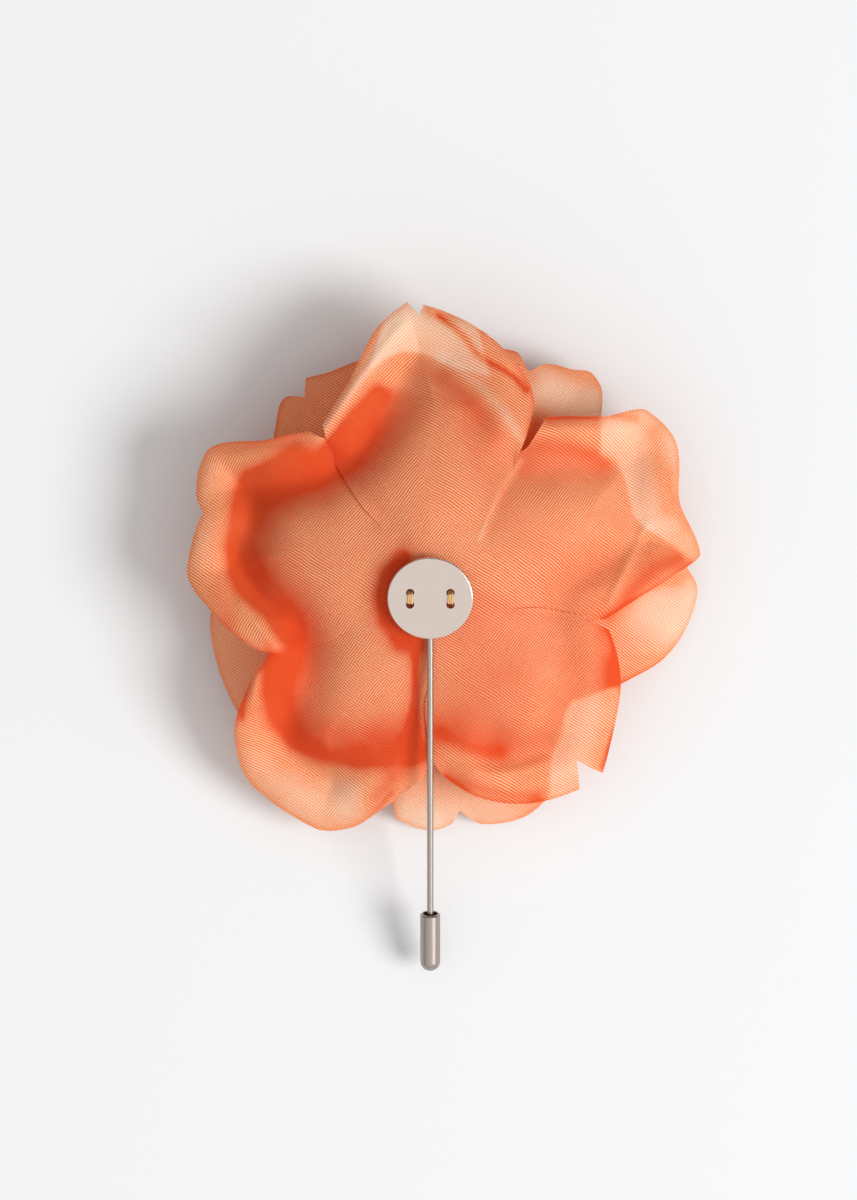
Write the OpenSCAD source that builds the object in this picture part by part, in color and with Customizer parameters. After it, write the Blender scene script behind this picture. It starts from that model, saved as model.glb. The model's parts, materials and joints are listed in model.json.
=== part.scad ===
// Flower lapel pin, lying face down: four layers of silk petals and a rolled bud
// below, and a sewn-on metal disc with a long pin and a push-on clutch above.
// Millimetres, +Z up. The pin points along -Y and falls towards its tip.

/* [Back petals] */
// Longest reach of the back petals from the middle of the disc
back_reach = 59.3; // [52:0.1:66]
// Height of the cloth behind the disc above the lowest petal tips
flower_h = 29; // [26:0.5:34]
// How far the back petals fall from the middle to the longest tip
back_drop = 24; // [20:0.5:27]
// Height of the rolled rim above the dome
rim_lift = 4; // [2:0.25:5]
// Depth of the hollow inside the rolled rim
rim_hollow = 2; // [0.5:0.25:3]
// Depth of the crease between two petals
seam_depth = 2; // [0.5:0.25:3]

/* [Second petals] */
// Longest reach of the second petals
second_reach = 55.6; // [48:0.1:60]
// How far the second petals fall from the middle to the longest tip
second_drop = 23.5; // [20:0.5:25]
// Height of their rolled rim
second_lift = 1.5; // [0:0.25:2]

/* [Inner petals] */
// Reach of the third petals, whose tips carry the flower
third_reach = 35; // [30:0.5:40]
// Reach of the fourth petals
fourth_reach = 23; // [19:0.5:26]
// Height of the fourth petals' tips above the third petals' tips
fourth_rise = 3; // [1.5:0.5:6]

/* [Bud] */
// Outer radius of the rolled bud
bud_r = 8.5; // [7:0.25:10]
// Inner radius of the rolled bud
bud_core_r = 2.2; // [1.5:0.1:3]
// Turns of the rolled strip
bud_turns = 2.25; // [1.5:0.25:2.75]
// Height of the bud's lowest edge above the third petals' tips
bud_rise = 4; // [2:0.5:8]

/* [Cloth] */
// Wall thickness of the stiffened silk
cloth_t = 1; // [0.8:0.1:1.3]
// Gap between one layer and the next at the middle
layer_gap = 0.3; // [0.2:0.05:0.6]
// Lean of the cloth behind the disc, in degrees
lean_mid = 17; // [12:0.5:20]
// Lean of the whole flower towards the pin's tip, in degrees
lean_out = 8; // [4:0.5:10]

/* [Disc] */
// Diameter of the disc
disc_d = 17; // [14:0.5:22]
// Thickness of the disc
disc_t = 1; // [0.8:0.1:1.6]
// Lean of the disc and pin, in degrees
pin_lean = 19; // [16:0.5:21]
// Clearance between the shaft's seat and the cloth in the middle
disc_gap = 0.75; // [0.6:0.05:1.2]
// Radius of the disc's rounded edge
disc_edge = 0.25; // [0.1:0.05:0.35]
// Diameter of the four sewing holes
hole_d = 1.65; // [1.2:0.05:2]
// Distance between the two holes of a pair
hole_pair = 2.5; // [2.2:0.1:3]
// Distance between the left and the right pair
hole_span = 8; // [7:0.1:9]

/* [Shaft] */
// Diameter of the shaft
shaft_d = 1.3; // [1:0.05:1.5]
// Bare length of the shaft, from the disc to the clutch
shaft_l = 58.7; // [50:0.1:66]
// Length of the shaft inside the clutch
shaft_in = 7; // [6:0.1:8]
// Length of the pointed tip
tip_l = 3.2; // [2:0.1:3.6]
// Diameter of the neck that the clutch closes on
neck_d = 0.8; // [0.6:0.05:0.85]
// Length of the neck
neck_l = 1.1; // [0.9:0.05:1.4]
// Depth of the neck inside the clutch's mouth
neck_at = 0.9; // [0.6:0.05:1]
// Depth of the solder joint between shaft and disc
solder = 0.15; // [0.1:0.05:0.25]
// Width of the flat seat that holds the shaft under the disc
seat_w = 2.2; // [1.8:0.1:3]
// Length of the seat past the middle of the disc
seat_back = 5; // [3:0.5:6]

/* [Clutch] */
// Diameter of the clutch
clutch_d = 4; // [3.6:0.1:5]
// Length of the clutch
clutch_l = 12.2; // [11:0.1:14]
// Diameter of the clutch's bore
clutch_bore = 2.9; // [2.7:0.05:3.1]
// Wall at the clutch's closed end
clutch_end = 2.4; // [2:0.1:3]
// Chamfer round the mouth
mouth_edge = 0.25; // [0.1:0.05:0.35]
// Length of the grip inside the clutch
grip_l = 4; // [2:0.1:4.5]
// Depth of the grip behind the mouth
grip_in = 1.2; // [1.1:0.05:1.5]
// Running clearance between grip and shaft, on the radius
grip_clear = 0.05; // [0.02:0.01:0.1]
// Clearance between grip and shell, on the radius
grip_seat = 0.05; // [0.02:0.01:0.1]

/* [Hidden] */
silk = [0.93, 0.5, 0.33];
silk_in = [0.9, 0.42, 0.25];
steel = [0.8, 0.75, 0.71];
black = [0.08, 0.08, 0.09];

// Outline of the back petals, anticlockwise. Columns: azimuth in degrees, reach as
// a share of back_reach, lift as a share of rim_lift, 1 where the edge has a corner.
BACK_ROWS = [
    // right petal, from its lower slit
    [-8, 0.455, 0, 1], [-7, 0.59, 0.5, 0], [0, 0.7, 0.7, 0], [5, 0.815, 0.7, 0], [9.5, 0.925, 0.4, 0],
    [20, 0.9, 0.6, 0], [34, 0.985, 0.9, 0], [41, 0.965, 0.9, 0], [46, 0.85, 0.9, 0], [56.2, 0.72, 0.6, 0],
    // top petal
    [57, 0.52, 0, 1], [59.5, 0.64, 0.3, 0], [62, 0.745, 0.5, 0], [74, 0.877, 0.9, 0], [86, 0.96, 0.9, 0],
    [91.3, 0.988, 0.9, 1], [92.3, 0.95, 0.8, 1], [94.5, 1, 1, 1], [100, 0.94, 1.1, 0],
    [111, 0.77, 1.1, 0], [122, 0.682, 0.8, 0],
    // left petal
    [124, 0.61, 0, 1], [126, 0.69, 0.8, 0], [136, 0.764, 1, 0], [147, 0.9, 1, 0], [156, 0.863, 0.8, 0],
    [159.5, 0.815, 0.7, 1], [163, 0.822, 0.7, 0], [173, 0.825, 0.9, 0], [184, 0.732, 1.1, 0],
    [197, 0.605, 1.3, 0],
    // lower left petal
    [200.3, 0.51, 0, 1], [202, 0.62, 1.1, 0], [207, 0.697, 1.2, 0], [215, 0.806, 1.1, 0], [227, 0.874, 1, 0],
    [243, 0.872, 0.8, 0], [251, 0.82, 0.5, 0], [259, 0.67, 0.1, 0],
    // lower right petal
    [270, 0.56, 0, 1], [275, 0.605, 0.1, 0], [283, 0.685, 0.6, 0], [297, 0.776, 0.9, 0], [308, 0.82, 0.5, 1],
    [312, 0.737, 0.3, 1], [314.5, 0.831, 0.3, 1], [323, 0.77, 0.3, 0], [337, 0.697, 0.3, 0],
    [350, 0.61, 0.4, 0],
];
// Outline of the second petals, with the same columns as shares of their own sizes.
SECOND_ROWS = [
    // right petal
    [-35.5, 0.61, 0, 1], [-30, 0.69, 0.3, 0], [-22, 0.78, 0.6, 0], [-14, 0.878, 0.8, 0], [-5, 0.942, 1, 0],
    [2, 0.968, 1, 0], [7, 0.933, 1, 0], [12, 0.9, 0.6, 0], [20, 0.78, 0.4, 0],
    // upper right petal
    [27, 0.5, 0, 1], [33, 0.65, 0.3, 0], [38, 0.764, 0.6, 0], [46, 0.89, 1, 0], [51, 0.978, 1, 0],
    [56, 1, 1, 0], [63, 0.944, 1, 0], [66.5, 0.89, 1, 1], [71, 0.94, 1, 0], [78, 0.917, 0.8, 0],
    [87, 0.86, 0.4, 0],
    // top left petal
    [91, 0.72, 0, 1], [95, 0.872, 0.4, 0], [103, 0.895, 0.6, 0], [113, 0.89, 1, 0], [119.5, 0.91, 1, 1],
    [122, 0.853, 1, 1], [126, 0.892, 1, 0], [132, 0.832, 0.8, 0], [145, 0.68, 0.4, 0],
    // left petal
    [158, 0.47, 0, 1], [168, 0.67, 0.4, 0], [178, 0.77, 0.8, 0], [189, 0.802, 1, 0], [211, 0.808, 1, 0],
    [222, 0.764, 0.6, 0], [231, 0.665, 0.4, 0],
    // bottom petal
    [238, 0.47, 0, 1], [249, 0.63, 0.4, 0], [257, 0.72, 0.6, 0], [261, 0.8, 1, 0], [270, 0.842, 1, 0],
    [275.5, 0.82, 1, 0], [277.8, 0.777, 1, 1], [283, 0.84, 1, 0], [293, 0.863, 1, 0], [300, 0.84, 0.8, 0],
    [309, 0.68, 0.4, 0],
];
// Outline of one inner petal. Columns: share of the petal's angle, share of the
// reach, lift as a share of the cloth's thickness, corner.
PETAL_ROWS = [
    [0, 0.56, 0, 1], [0.08, 0.75, 0, 0], [0.22, 0.91, 1, 0], [0.42, 0.995, 2, 0],
    [0.58, 0.985, 2, 0], [0.78, 0.9, 1, 0], [0.92, 0.75, 0, 0],
];
inner_petals = 5;
third_turn = 20;
fourth_turn = 56;
THIRD_ROWS = ring_of_petals(third_turn);
FOURTH_ROWS = ring_of_petals(fourth_turn);

// Rings of a layer, as shares of the way from the flat middle to the rim
OUTER_RINGS = [0, 0.2, 0.4, 0.58, 0.73, 0.86, 0.94, 1];
INNER_RINGS = [0, 0.25, 0.5, 0.75, 1];
// Points along the edge between two rows
steps = 2;
// Radius of the smooth middle of every layer
mid_r = 10;
// Distances from the rim to the top of its roll and to the bottom of its hollow
ridge_in = 3;
hollow_in = 9.5;
ridge_w = 3.6;
hollow_w = 4.5;
// Share of its lift that the rim loses again outside the top of its roll
rim_fall = 0.35;
// Half width of a crease between petals, and where it begins and is full
seam_w = 6;
seam_from = 8;
seam_full = 20;
// Where the step down of the lower layers begins and is full
step_from = 4;
step_full = 18;
// Radius over which the lean of the middle fades, and the bend of the domes and cups
fade_r = 26;
dome_bend = 2.2;
cup_bend = 2.3;

stack = cloth_t + layer_gap;
// The lower layers step down to clear the back petals' creases, and the share of the
// hollow inside the rim that reaches down to them
hollow_share = 0.8;
dip = seam_depth + hollow_share * rim_hollow;
third_fall = flower_h - 2 * stack - dip;
fourth_fall = flower_h - 3 * stack - dip - fourth_rise;
// Layers: rows, reach, depth in the stack, fall, bend, outer lean, lift, hollow,
// depth of the creases, step down
BACK = [BACK_ROWS, back_reach, 0, back_drop, dome_bend, lean_out, rim_lift, rim_hollow, seam_depth, 0];
SECOND = [SECOND_ROWS, second_reach, stack, second_drop, dome_bend, lean_out, second_lift, 0, 0, dip];
THIRD = [THIRD_ROWS, third_reach, 2 * stack, third_fall, cup_bend, 0, cloth_t, 0, 0, dip];
FOURTH = [FOURTH_ROWS, fourth_reach, 3 * stack, fourth_fall, cup_bend, 0, cloth_t, 0, 0, dip];

function ring_of_petals(turn) =
    [for (k = [0 : inner_petals - 1]) for (r = PETAL_ROWS)
        [turn + (k + r[0]) * 360 / inner_petals, r[1], r[2], r[3]]];

// Row i of a closed outline, counted on past its ends
function row(rows, i) =
    let (n = len(rows), k = (i % n + n) % n, turns = floor(i / n))
    [rows[k][0] + 360 * turns, rows[k][1], rows[k][2], rows[k][3]];
// Slope of column c at row i, from the side of the segment that starts at row s.
// It is 0 at a peak or a dip, so the edge never swings past its rows.
function slope(rows, i, s, c) =
    let (a = row(rows, i - 1), b = row(rows, i), d = row(rows, i + 1),
         wa = b[0] - a[0],
         wd = d[0] - b[0],
         before = (b[c] - a[c]) / wa,
         after = (d[c] - b[c]) / wd)
    b[3] == 1 ? (i == s ? after : before)
    : before * after <= 0 ? 0
    : 3 * (wa + wd) / ((2 * wd + wa) / before + (wd + 2 * wa) / after);
// Column c at share t of the segment that starts at row s, as a cubic
function between(rows, s, t, c) =
    let (a = row(rows, s), b = row(rows, s + 1), w = b[0] - a[0],
         ma = slope(rows, s, s, c) * w,
         mb = slope(rows, s + 1, s, c) * w)
    a[c] * (1 + 2 * t) * pow(1 - t, 2) + ma * t * pow(1 - t, 2)
    + b[c] * t * t * (3 - 2 * t) - mb * t * t * (1 - t);
// The edge of a layer: azimuth, reach and lift at each of its points
function edge(rows) =
    [for (s = [0 : len(rows) - 1]) for (k = [0 : steps - 1])
        let (t = k / steps)
        [row(rows, s)[0] * (1 - t) + row(rows, s + 1)[0] * t,
         between(rows, s, t, 1), between(rows, s, t, 2)]];

function ramp(x, from, to) =
    let (t = min(1, max(0, (x - from) / (to - from)))) t * t * (3 - 2 * t);
function bell(x, w) = exp(-pow(x / w, 2));
// Angle between two azimuths, in degrees
function apart(a, b) = abs(((a - b) % 360 + 540) % 360 - 180);
// Azimuths of the slits between petals: the corner rows without lift
function slit_rows(rows) = [for (r = rows) if (r[3] == 1 && r[2] == 0) r[0]];

// Height of a layer's upper face at radius r and azimuth a, before its rim is rolled
function lean_at(y, r, outer) =
    y * (tan(outer) + (tan(lean_mid) - tan(outer)) * bell(r, fade_r));
function dome_z(layer, r, a) =
    flower_h - layer[2] + lean_at(r * sin(a), r, layer[5])
    - layer[3] * pow(r / layer[1], layer[4]) - layer[9] * ramp(r, step_from, step_full);
// Rise or fall of the rim at distance d inside it
function roll(d, lift, hollow) =
    lift * (d < ridge_in ? 1 - rim_fall * pow(1 - d / ridge_in, 2) : bell(d - ridge_in, ridge_w))
    - hollow * bell(d - hollow_in, hollow_w);
// Depth of the crease that runs inwards from the nearest slit
function crease(slits, r, a, depth) =
    let (off = min([for (s = slits) apart(a, s)]) * PI / 180 * r)
    depth * bell(off, seam_w) * ramp(r, seam_from, seam_full);
function face_point(layer, slits, e, ring) =
    let (reach = e[1] * layer[1],
         r = mid_r + (reach - mid_r) * ring,
         fade = ramp(r, mid_r, 2 * mid_r))
    [r * cos(e[0]), r * sin(e[0]),
     dome_z(layer, r, e[0]) - crease(slits, r, e[0], layer[8])
     + fade * roll(reach - r, e[2] * layer[6], layer[7])];
// The lower face lies a wall's thickness inside the dome's normal
function under(layer, p) =
    let (r = norm([p[0], p[1]]),
         fall = layer[3] * layer[4] / layer[1] * pow(r / layer[1], layer[4] - 1),
         k = cloth_t / norm([fall, 1]))
    r == 0 ? p - [0, 0, cloth_t] : p - k * [fall * p[0] / r, fall * p[1] / r, 1];

// All points of a layer: its upper middle, its upper rings from the middle out, and
// the same again below
function upper(layer, rings) =
    let (es = edge(layer[0]), slits = slit_rows(layer[0]))
    concat([[0, 0, dome_z(layer, 0, 0)]],
           [for (g = rings) for (e = es) face_point(layer, slits, e, g)]);
function lower(layer, pts) = [for (p = pts) under(layer, p)];

BACK_TOP = upper(BACK, OUTER_RINGS);
SECOND_TOP = upper(SECOND, OUTER_RINGS);
THIRD_TOP = upper(THIRD, INNER_RINGS);
FOURTH_TOP = upper(FOURTH, INNER_RINGS);

// The disc's middle, and the pin's own measures along it from that middle
disc_r = disc_d / 2;
shaft_r = shaft_d / 2;
axis_low = disc_t / 2 + shaft_r - solder;
seat_low = axis_low + shaft_r;
disc_z = flower_h + disc_gap + seat_low;
seat_over = 0.1;
seat_end = disc_r + seat_over;
mouth = seat_end + shaft_l;
neck_from = mouth + neck_at;
tip_at = mouth + shaft_in;
neck_step = 0.25;
bore_l = clutch_l - clutch_end;
round_at = clutch_l - clutch_d / 2;
// How far a cut runs past the solid that it cuts
overcut = 1;

// The whole part stands on its lowest point, with the middle of its outline at 0
LOWER_FACES = concat(lower(BACK, BACK_TOP), lower(SECOND, SECOND_TOP),
                     lower(THIRD, THIRD_TOP), lower(FOURTH, FOURTH_TOP));
low_z = min([for (p = LOWER_FACES) p[2]]);
OUTLINES = concat(BACK_TOP, SECOND_TOP);
left_x = min([for (p = OUTLINES) p[0]]);
right_x = max([for (p = OUTLINES) p[0]]);
top_y = max([for (p = OUTLINES) p[1]]);
clutch_tip_y = axis_low * sin(pin_lean) - (mouth + round_at) * cos(pin_lean) - clutch_d / 2;
mid_x = (left_x + right_x) / 2;
mid_y = (top_y + clutch_tip_y) / 2;

module placed() {
    translate([-mid_x, -mid_y, -low_z]) children();
}

// A closed sheet: n points round, and m rings on each face
module sheet(top, bottom, n, m) {
    face = 1 + n * m;
    function at(side, ring, i) = side * face + 1 + ring * n + i % n;
    middle = [for (i = [0 : n - 1]) each [[0, at(0, 0, i + 1), at(0, 0, i)],
                                          [face, at(1, 0, i), at(1, 0, i + 1)]]];
    rings = [for (g = [0 : m - 2]) for (i = [0 : n - 1]) each [
        [at(0, g, i), at(0, g, i + 1), at(0, g + 1, i + 1)],
        [at(0, g, i), at(0, g + 1, i + 1), at(0, g + 1, i)],
        [at(1, g, i + 1), at(1, g, i), at(1, g + 1, i)],
        [at(1, g, i + 1), at(1, g + 1, i), at(1, g + 1, i + 1)]]];
    rim = [for (i = [0 : n - 1]) each [
        [at(0, m - 1, i), at(0, m - 1, i + 1), at(1, m - 1, i + 1)],
        [at(0, m - 1, i), at(1, m - 1, i + 1), at(1, m - 1, i)]]];
    polyhedron(points = concat(top, bottom), faces = concat(middle, rings, rim), convexity = 8);
}

module layer(layer, top, rings) {
    placed() sheet(top, lower(layer, top), len(layer[0]) * steps, len(rings));
}

module back_petals() {
    color(silk) layer(BACK, BACK_TOP, OUTER_RINGS);
}

module second_petals() {
    color(silk) layer(SECOND, SECOND_TOP, OUTER_RINGS);
}

module third_petals() {
    color(silk_in) layer(THIRD, THIRD_TOP, INNER_RINGS);
}

module fourth_petals() {
    color(silk_in) layer(FOURTH, FOURTH_TOP, INNER_RINGS);
}

// The rolled bud: a strip wound outwards, whose upper edge follows the fourth
// petals and whose lower edge waves
bud_steps = 54;
bud_rows = 3;
// Share of the strip's height that its lower edge waves by, and the waves in a turn
bud_wave = 0.12;
bud_waves = 1.2;
// Share by which the inner turns draw in towards the lower edge
bud_draw = 0.14;
function bud_point(k, h, side) =
    let (s = k / bud_steps,
         a = s * bud_turns * 360,
         f = h / bud_rows,
         wound = bud_core_r + (bud_r - bud_core_r - cloth_t) * s + side * cloth_t,
         r = wound * (1 - bud_draw * f * (1 - s)),
         top = dome_z(FOURTH, bud_r, a) - 2 * cloth_t - layer_gap,
         low = low_z + bud_rise + bud_wave * (top - low_z) * (1 - sin(a * bud_waves)))
    [r * cos(a), r * sin(a), top + (low - top) * f];

module bud() {
    rows = bud_rows + 1;
    pts = [for (side = [0, 1]) for (k = [0 : bud_steps]) for (h = [0 : bud_rows])
        bud_point(k, h, side)];
    function at(side, k, h) = side * (bud_steps + 1) * rows + k * rows + h;
    walls = [for (k = [0 : bud_steps - 1]) for (h = [0 : bud_rows - 1]) each [
        [at(0, k, h), at(0, k, h + 1), at(0, k + 1, h + 1)],
        [at(0, k, h), at(0, k + 1, h + 1), at(0, k + 1, h)],
        [at(1, k, h), at(1, k + 1, h + 1), at(1, k, h + 1)],
        [at(1, k, h), at(1, k + 1, h), at(1, k + 1, h + 1)]]];
    edges = [for (k = [0 : bud_steps - 1]) each [
        [at(0, k, 0), at(0, k + 1, 0), at(1, k + 1, 0)],
        [at(0, k, 0), at(1, k + 1, 0), at(1, k, 0)],
        [at(0, k, bud_rows), at(1, k + 1, bud_rows), at(0, k + 1, bud_rows)],
        [at(0, k, bud_rows), at(1, k, bud_rows), at(1, k + 1, bud_rows)]]];
    ends = [for (h = [0 : bud_rows - 1]) each [
        [at(0, 0, h), at(1, 0, h), at(1, 0, h + 1)],
        [at(0, 0, h), at(1, 0, h + 1), at(0, 0, h + 1)],
        [at(0, bud_steps, h), at(1, bud_steps, h + 1), at(1, bud_steps, h)],
        [at(0, bud_steps, h), at(0, bud_steps, h + 1), at(1, bud_steps, h + 1)]]];
    color(silk_in) placed() polyhedron(points = pts, faces = concat(walls, edges, ends), convexity = 8);
}

// The pin's own frame: the disc's middle, leaning with the pin
module pin_frame() {
    placed() translate([0, 0, disc_z]) rotate([pin_lean, 0, 0]) children();
}

// The axis of the shaft, at distance y along it from the disc's middle
module on_axis(y) {
    pin_frame() translate([0, -y, -axis_low]) rotate([90, 0, 0]) children();
}

module disc_plate() {
    difference() {
        union() {
            cylinder(r = disc_r - disc_edge, h = disc_t, center = true, $fn = 96);
            cylinder(r = disc_r, h = disc_t - 2 * disc_edge, center = true, $fn = 96);
            for (z = [-1, 1]) translate([0, 0, z * (disc_t / 2 - disc_edge)])
                rotate_extrude($fn = 96) translate([disc_r - disc_edge, 0]) circle(r = disc_edge, $fn = 24);
        }
        for (x = [-1, 1]) for (y = [-1, 1])
            translate([x * hole_span / 2, y * hole_pair / 2, 0])
                cylinder(d = hole_d, h = 3 * disc_t, center = true, $fn = 32);
    }
}

module shaft() {
    rotate_extrude($fn = 48) polygon([
        [0, seat_end - disc_r], [shaft_r, seat_end - disc_r], [shaft_r, neck_from],
        [neck_d / 2, neck_from + neck_step], [neck_d / 2, neck_from + neck_l - neck_step],
        [shaft_r, neck_from + neck_l], [shaft_r, tip_at - tip_l], [0, tip_at]]);
}

// The disc, the flat seat under it and the shaft are one soldered piece
module pin_back() {
    color(steel) union() {
        pin_frame() disc_plate();
        pin_frame() translate([-seat_w / 2, -seat_end, -seat_low])
            cube([seat_w, seat_end + seat_back, seat_low - disc_t / 2 + solder]);
        on_axis(0) shaft();
    }
}

module clutch_shell() {
    color(steel) on_axis(mouth) difference() {
        union() {
            cylinder(r1 = clutch_d / 2 - mouth_edge, r2 = clutch_d / 2, h = mouth_edge, $fn = 64);
            translate([0, 0, mouth_edge]) cylinder(d = clutch_d, h = round_at - mouth_edge, $fn = 64);
            translate([0, 0, round_at]) sphere(d = clutch_d, $fn = 64);
        }
        translate([0, 0, -overcut]) cylinder(d = clutch_bore, h = bore_l + overcut, $fn = 48);
    }
}

module clutch_grip() {
    color(black) on_axis(mouth + grip_in) difference() {
        cylinder(r = clutch_bore / 2 - grip_seat, h = grip_l, $fn = 48);
        translate([0, 0, -overcut])
            cylinder(r = shaft_r + grip_clear, h = grip_l + 2 * overcut, $fn = 48);
    }
}

back_petals();
second_petals();
third_petals();
fourth_petals();
bud();
pin_back();
clutch_shell();
clutch_grip();
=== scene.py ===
import json
import math

import bmesh
import bpy
import numpy as np
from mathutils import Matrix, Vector


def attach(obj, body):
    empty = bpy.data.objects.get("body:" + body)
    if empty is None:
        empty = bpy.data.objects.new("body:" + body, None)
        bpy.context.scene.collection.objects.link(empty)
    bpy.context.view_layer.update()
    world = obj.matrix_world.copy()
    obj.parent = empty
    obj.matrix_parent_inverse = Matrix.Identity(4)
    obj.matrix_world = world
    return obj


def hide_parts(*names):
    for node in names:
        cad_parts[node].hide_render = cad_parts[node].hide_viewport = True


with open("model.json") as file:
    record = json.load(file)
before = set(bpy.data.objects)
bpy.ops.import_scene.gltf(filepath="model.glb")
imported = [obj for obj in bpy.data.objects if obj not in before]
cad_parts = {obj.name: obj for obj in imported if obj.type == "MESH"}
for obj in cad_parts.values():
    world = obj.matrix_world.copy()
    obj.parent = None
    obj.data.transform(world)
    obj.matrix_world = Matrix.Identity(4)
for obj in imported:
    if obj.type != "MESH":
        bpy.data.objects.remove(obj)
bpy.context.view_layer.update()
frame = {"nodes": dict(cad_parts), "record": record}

# A silk flower lapel pin that lies face down. Lengths are millimetres, and places are in the
# flower's own frame, whose origin is under the middle of the disc, unless a comment says
# otherwise. MM turns them into metres.
MM = 0.001

# Sizes of the part's source
FLOWER_H = 29
BACK_REACH = 59.3
BACK_DROP = 24
RIM_LIFT = 4
RIM_HOLLOW = 2
SEAM_DEPTH = 2
SECOND_REACH = 55.6
SECOND_DROP = 23.5
SECOND_LIFT = 1.5
THIRD_REACH = 35
FOURTH_REACH = 23
FOURTH_RISE = 3
BUD_R = 8.5
BUD_CORE_R = 2.2
BUD_TURNS = 2.25
BUD_RISE = 4
CLOTH_T = 1
LAYER_GAP = 0.3
LEAN_MID = 17
LEAN_OUT = 8
DISC_T = 1
DISC_Z = 31.4
HOLE_PITCH = 2.5
HOLE_SPAN = 8
STACK = CLOTH_T + LAYER_GAP
HOLLOW_SHARE = 0.8
DIP = SEAM_DEPTH + HOLLOW_SHARE * RIM_HOLLOW

# The flower frame's origin in the row frame, from the disc's mount
DISC_FACE = next(m for m in frame["record"]["mounts"] if m["name"] == "disc_face")
DISC_AXIS = Vector(DISC_FACE["axis"])
DISC_MID = Vector(DISC_FACE["pos_m"]) - DISC_AXIS * DISC_T / 2 * MM
ORIGIN = np.array(DISC_MID) - [0, 0, DISC_Z * MM]

# Outlines: azimuth in degrees, share of the layer's reach, share of its lift, 1 for a corner
BACK_PETALS = [
    # right petal
    [[-8, 0.455, 0, 1], [-7, 0.59, 0.5, 0], [0, 0.7, 0.7, 0], [5, 0.815, 0.7, 0], [9.5, 0.925, 0.4, 0],
     [20, 0.9, 0.6, 0], [34, 0.985, 0.9, 0], [41, 0.965, 0.9, 0], [46, 0.85, 0.9, 0], [57.2, 0.72, 0.5, 0]],
    # top petal
    [[57, 0.52, 0, 1], [59.5, 0.64, 0.1, 0], [62, 0.745, 0.15, 0], [74, 0.877, 0.35, 0], [86, 0.96, 0.7, 0],
     [91.3, 0.988, 0.9, 1], [92.3, 0.95, 0.8, 1], [94.5, 1, 1, 1], [100, 0.94, 1.1, 0],
     [111, 0.77, 1.1, 0], [122, 0.682, 0.8, 0]],
    # left petal
    [[124, 0.61, 0, 1], [126, 0.69, 0.8, 0], [136, 0.764, 1, 0], [147, 0.9, 1, 0], [156, 0.863, 0.8, 0],
     [159.5, 0.815, 0.7, 1], [163, 0.822, 0.7, 0], [173, 0.825, 0.9, 0], [184, 0.732, 1.1, 0],
     [197, 0.605, 1.3, 0]],
    # lower left petal
    [[200.3, 0.51, 0, 1], [202, 0.62, 1.1, 0], [207, 0.697, 1.2, 0], [215, 0.806, 1.1, 0],
     [227, 0.874, 1, 0], [243, 0.872, 0.8, 0], [251, 0.82, 0.5, 0], [259, 0.67, 0.1, 0]],
    # lower right petal
    [[270, 0.56, 0, 1], [275, 0.605, 0.1, 0], [283, 0.685, 0.6, 0], [297, 0.776, 0.9, 0],
     [308, 0.82, 0.5, 1], [312, 0.737, 0.3, 1], [314.5, 0.831, 0.3, 1], [323, 0.77, 0.3, 0],
     [337, 0.697, 0.3, 0], [350, 0.61, 0.4, 0]],
]
SECOND_PETALS = [
    # right petal
    [[-35.5, 0.61, 0, 1], [-30, 0.69, 0.3, 0], [-22, 0.78, 0.6, 0], [-14, 0.878, 0.8, 0],
     [-5, 0.942, 1, 0], [2, 0.968, 1, 0], [7, 0.933, 1, 0], [12, 0.9, 0.6, 0], [20, 0.78, 0.4, 0]],
    # upper right petal
    [[27, 0.5, 0, 1], [33, 0.65, 0.3, 0], [38, 0.764, 0.6, 0], [46, 0.886, 1, 0], [51.5, 0.985, 1, 0],
     [54.6, 1, 1, 0], [58, 0.972, 1, 0], [63.5, 0.943, 1, 0], [66.5, 0.89, 1, 1], [71, 0.94, 1, 0],
     [78, 0.917, 0.8, 0], [87, 0.86, 0.4, 0]],
    # top left petal
    [[91, 0.72, 0, 1], [95, 0.872, 0.4, 0], [103, 0.895, 0.6, 0], [113, 0.89, 1, 0],
     [119.5, 0.91, 1, 1], [122, 0.853, 1, 1], [126, 0.892, 1, 0], [132, 0.832, 0.8, 0],
     [145, 0.68, 0.4, 0]],
    # left petal
    [[158, 0.47, 0, 1], [168, 0.67, 0.4, 0], [178, 0.77, 0.8, 0], [189, 0.802, 1, 0],
     [211, 0.808, 1, 0], [222, 0.764, 0.6, 0], [231, 0.665, 0.4, 0]],
    # bottom petal
    [[238, 0.47, 0, 1], [249, 0.63, 0.4, 0], [257, 0.7, 0.6, 0], [259.2, 0.74, 0.8, 1],
     [261, 0.808, 1, 1], [270, 0.842, 1, 0], [275.5, 0.82, 1, 0], [277.8, 0.777, 1, 1],
     [283, 0.84, 1, 0], [293, 0.863, 1, 0], [300, 0.84, 0.8, 0], [309, 0.68, 0.4, 0]],
]
# One inner petal: share of its angle, share of the reach, lift, corner
INNER_PETAL = [
    [0, 0.56, 0, 1], [0.08, 0.75, 0, 0], [0.22, 0.91, 1, 0], [0.42, 0.995, 2, 0],
    [0.58, 0.985, 2, 0], [0.78, 0.9, 1, 0], [0.92, 0.75, 0, 0],
]
INNER_PETALS = 5
THIRD_TURN = 20
FOURTH_TURN = 56

# The rims flare up to their edge, outside a soft hollow. They rise outside MID_R, in full
# outside twice that
MID_R = 10
FLARE_W = 9.5
HOLLOW_IN = 10.5
HOLLOW_W = 3.6
HOLLOW_WIDE = 5
# How many times deeper the hollow is here than in the part, its least share, and the share of
# the lift at which it is full
HOLLOW_MORE = 1.3
HOLLOW_LEAST = 0.35
HOLLOW_LIFT = 0.6
# How much further the second petals fall here than in the part
SECOND_MORE = 1.6
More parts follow.
